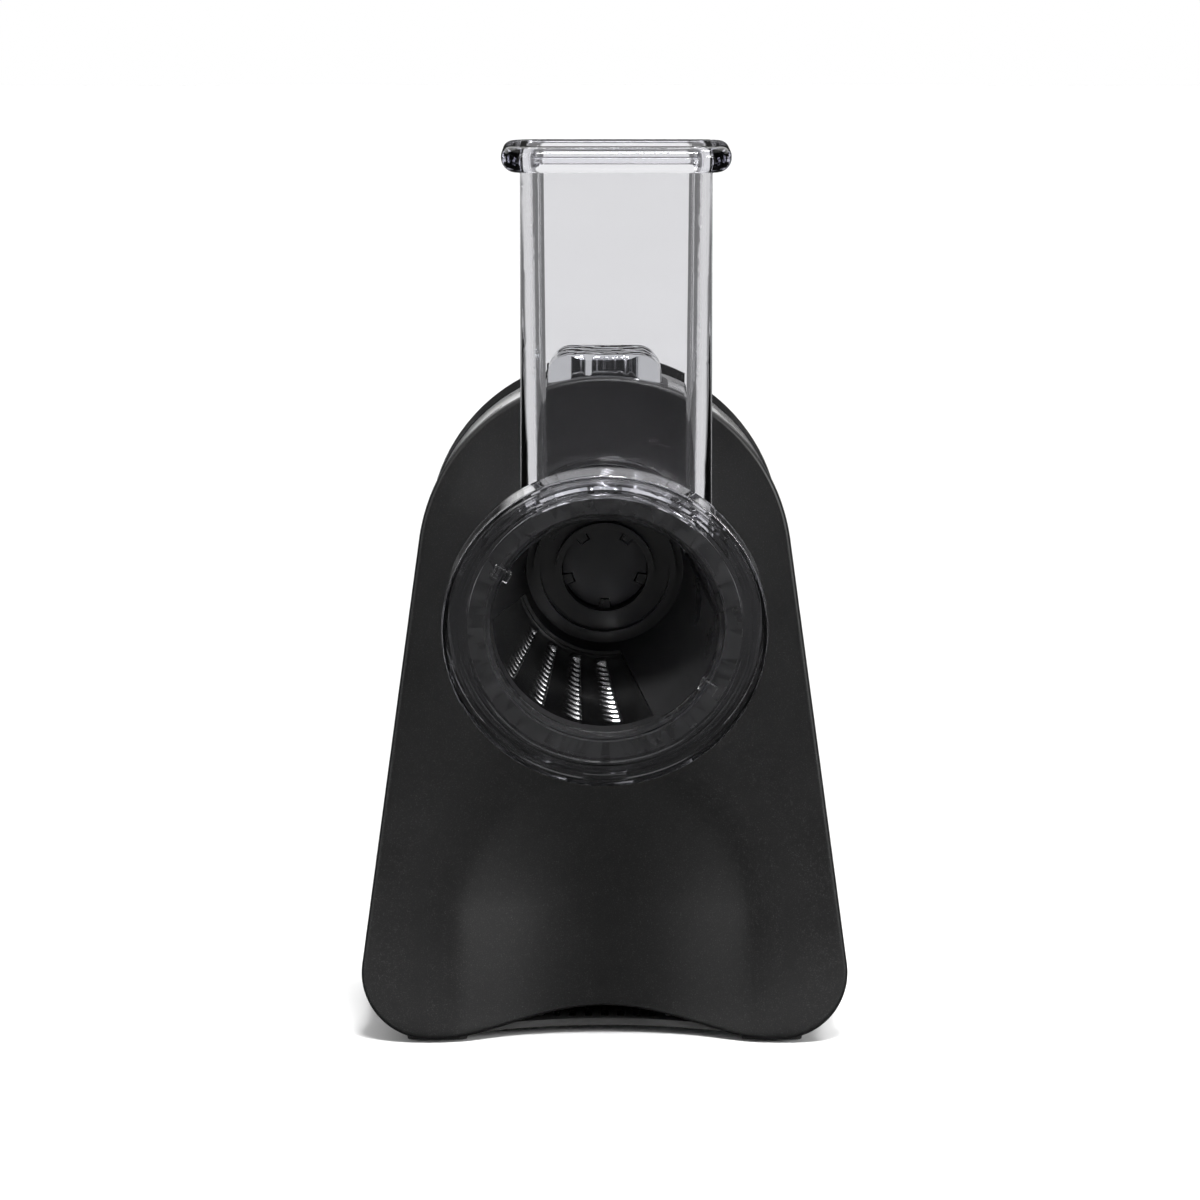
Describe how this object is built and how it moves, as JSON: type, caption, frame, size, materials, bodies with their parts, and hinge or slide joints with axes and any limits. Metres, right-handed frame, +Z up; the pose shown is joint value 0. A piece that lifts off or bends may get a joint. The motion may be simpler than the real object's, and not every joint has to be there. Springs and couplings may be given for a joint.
{
  "type": "electric drum grater",
  "caption": "Upright motor-driven drum grater: clear feed chute and shroud round a tilted cone drum with a front outlet, black housing with a steel band, push button on top.",
  "frame": {"origin": "middle of the bounding box's bottom, on the surface that the feet stand on", "axes": "+X to the right seen from the front, +Y backwards from the outlet to the rear cover, +Z up the chute"},
  "size_m": [0.1792, 0.2076, 0.334],
  "materials": {
    "fascia_black": "soft-touch matte black with a fine grain",
    "band_steel": "polished stainless sheet",
    "cover_black": "gloss black",
    "base_black": "matte black",
    "foot_rubber": "matte rubber",
    "screw_steel": "zinc-plated",
    "button_chrome": "mirror chrome plate",
    "bezel_black": "satin black",
    "spring_steel": "bright spring wire",
    "switch_plastic": "moulded black",
    "gland_rubber": "matte rubber",
    "clamp_plastic": "moulded black",
    "board_green": "solder-masked board with dark components",
    "seal_rubber": "black rubber",
    "gearbox_grey": "moulded grey",
    "bush_bronze": "sintered bronze",
    "shaft_steel": "ground steel",
    "gear_nylon": "natural nylon",
    "coupler_black": "moulded black",
    "can_steel": "zinc-plated sheet",
    "magnet_ferrite": "dark sintered ferrite",
    "cap_plastic": "moulded off-white",
    "brush_carbon": "pressed carbon",
    "holder_brass": "bright brass",
    "core_steel": "laminated steel",
    "winding_copper": "enamelled copper wire",
    "clear_plastic": "clear polished plastic with a faint cool tint",
    "drum_black": "satin black",
    "grater_steel": "bright stamped steel"
  },
  "bodies": {
    "housing": {"front_fascia": "fascia_black", "steel_band": "band_steel", "rear_cover": "cover_black", "base_plate": "base_black", "rubber_feet": "foot_rubber", "base_screws": "screw_steel", "rear_cover_screws": "screw_steel", "button_bezel": "bezel_black", "button_spring": "spring_steel", "switch_body": "switch_plastic", "switch_screws": "screw_steel", "cord_gland": "gland_rubber", "cord_clamp": "clamp_plastic", "cord_clamp_screws": "screw_steel", "rectifier_board": "board_green", "board_screws": "screw_steel", "shaft_seal": "seal_rubber", "gearbox_front": "gearbox_grey", "gearbox_rear": "gearbox_grey", "gearbox_screws": "screw_steel", "output_bushes": "bush_bronze", "idler_axle": "shaft_steel", "motor_can": "can_steel", "motor_magnets": "magnet_ferrite", "motor_end_cap": "cap_plastic", "motor_bushes": "bush_bronze", "brush_holders": "holder_brass", "carbon_brushes": "brush_carbon", "motor_screws": "screw_steel"},
    "output": {"output_shaft": "shaft_steel", "output_gear": "gear_nylon", "drive_coupler": "coupler_black", "shaft_circlip": "spring_steel"},
    "idler": {"idler_gear": "gear_nylon"},
    "rotor": {"motor_shaft": "shaft_steel", "rotor_core": "core_steel", "rotor_windings": "winding_copper", "commutator": "winding_copper", "motor_pinion": "gear_nylon"},
    "chute": {"chute_housing": "clear_plastic"},
    "lock_ring": {"lock_ring": "clear_plastic"},
    "drum": {"drum_frame": "drum_black", "grater_plate_a": "grater_steel", "grater_plate_b": "grater_steel"},
    "button": {"power_button": "button_chrome"}
  },
  "joints": [
    {"name": "drum_spin", "type": "hinge", "parent": "housing", "child": "drum", "pos_m": [0, -0.01424, 0.179], "axis": [0, -0.9833, -0.1822], "continuous": true},
    {"name": "output_spin", "type": "hinge", "parent": "housing", "child": "output", "pos_m": [0, -0.01424, 0.179], "axis": [0, -0.9833, -0.1822], "continuous": true},
    {"name": "idler_spin", "type": "hinge", "parent": "housing", "child": "idler", "pos_m": [0, -0.00878, 0.1495], "axis": [0, -0.9833, -0.1822], "continuous": true},
    {"name": "motor_spin", "type": "hinge", "parent": "housing", "child": "rotor", "pos_m": [0, -0.00353, 0.12119], "axis": [0, -0.9833, -0.1822], "continuous": true},
    {"name": "housing_twist", "type": "hinge", "parent": "housing", "child": "chute", "pos_m": [0, -0.01424, 0.179], "axis": [0, -0.9833, -0.1822], "range_deg": [0, 30]},
    {"name": "lock_ring_twist", "type": "hinge", "parent": "chute", "child": "lock_ring", "pos_m": [0, -0.01424, 0.179], "axis": [0, -0.9833, -0.1822], "range_deg": [0, 25]},
    {"name": "button_press", "type": "slide", "parent": "housing", "child": "button", "axis": [0, 0, -1], "range_m": [0, 0.003], "stiffness_N_per_m": 600, "springref_m": -0.003, "deforming": ["button_spring"]}
  ],
  "couplings": [
    {"joint": "output_spin", "follows": "drum_spin", "ratio": 1},
    {"joint": "idler_spin", "follows": "drum_spin", "ratio": -4},
    {"joint": "motor_spin", "follows": "drum_spin", "ratio": 20}
  ]
}
